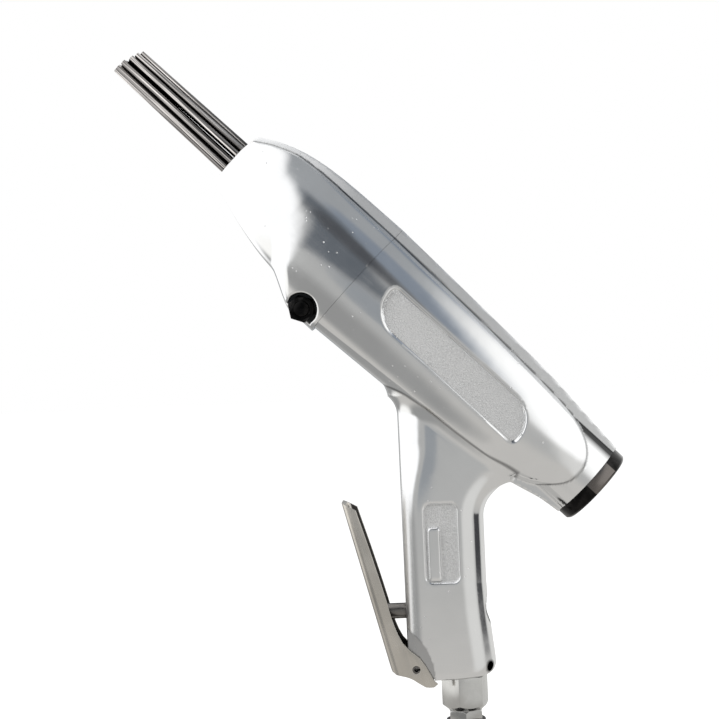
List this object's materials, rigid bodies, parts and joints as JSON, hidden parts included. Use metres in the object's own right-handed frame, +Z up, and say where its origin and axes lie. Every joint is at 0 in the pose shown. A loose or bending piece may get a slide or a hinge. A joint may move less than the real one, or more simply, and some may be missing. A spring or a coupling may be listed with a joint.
{
  "type": "needle scaler",
  "caption": "Pistol-grip air needle scaler: polished cast barrel raked across a grip, clamped nose housing, bundle of steel needles, throttle lever and hose plug.",
  "frame": {"origin": "tip of the hose plug, on the axis of the air inlet", "axes": "+Z up the grip from the hose plug, +X towards the back of the tool, +Y to its right-hand side; the barrel slopes down to the back"},
  "size_m": [0.2617, 0.055, 0.3964],
  "materials": {
    "cast_aluminium": "polished casting",
    "black_steel": "black oxide, semi-gloss",
    "needle_steel": "bright drawn rod",
    "lever_steel": "satin pressed sheet",
    "ground_steel": "ground",
    "plated_steel": "satin nickel plate",
    "bronze": "turned",
    "rubber": "moulded",
    "black_plastic": "moulded"
  },
  "bodies": {
    "housing": {"main_housing": "cast_aluminium", "nose_housing": "cast_aluminium", "clamp_bolt": "black_steel", "clamp_nut": "black_steel", "rear_cap": "black_steel", "cap_seal": "rubber", "nose_bush": "bronze", "return_spring": "ground_steel", "buffer_ring": "rubber", "cylinder_sleeve": "ground_steel", "anvil_bush": "bronze", "valve_body": "ground_steel", "valve_cover": "ground_steel", "lever_pin": "ground_steel", "throttle_bush": "bronze", "throttle_spring": "ground_steel", "valve_plug": "black_steel", "plug_seal": "rubber", "inlet_bushing": "plated_steel", "inlet_seal": "rubber", "inlet_screen": "bronze", "lock_screw": "black_steel", "hose_plug": "plated_steel", "plug_collar": "black_plastic"},
    "needle_pack": {"needles": "needle_steel", "needle_holder": "ground_steel", "anvil": "ground_steel"},
    "piston": {"piston": "ground_steel"},
    "valve_disc": {"valve_disc": "ground_steel"},
    "lever": {"throttle_lever": "lever_steel"},
    "throttle": {"throttle_pin": "ground_steel", "throttle_seal": "rubber"}
  },
  "joints": [
    {"name": "lever_hinge", "type": "hinge", "parent": "housing", "child": "lever", "pos_m": [-0.0252, 0, 0.0617], "axis": [0, 1, 0], "range_deg": [0, 13], "stiffness_Nm_per_rad": 0.6, "springref_deg": -8.59},
    {"name": "throttle_slide", "type": "slide", "parent": "housing", "child": "throttle", "axis": [1, 0, 0], "range_m": [0, 0.0073], "deforming": ["throttle_spring"]},
    {"name": "needle_slide", "type": "slide", "parent": "housing", "child": "needle_pack", "axis": [-0.7071, 0, 0.7071], "range_m": [0, 0.006], "stiffness_N_per_m": 4000, "springref_m": -0.004, "deforming": ["return_spring"]},
    {"name": "piston_slide", "type": "slide", "parent": "housing", "child": "piston", "axis": [-0.7071, 0, 0.7071], "range_m": [0, 0.0217]},
    {"name": "disc_slide", "type": "slide", "parent": "housing", "child": "valve_disc", "axis": [-0.7071, 0, 0.7071], "range_m": [0, 0.0008]}
  ],
  "couplings": [
    {"joint": "throttle_slide", "follows": "lever_hinge", "m_per_rad": 0.0315}
  ]
}
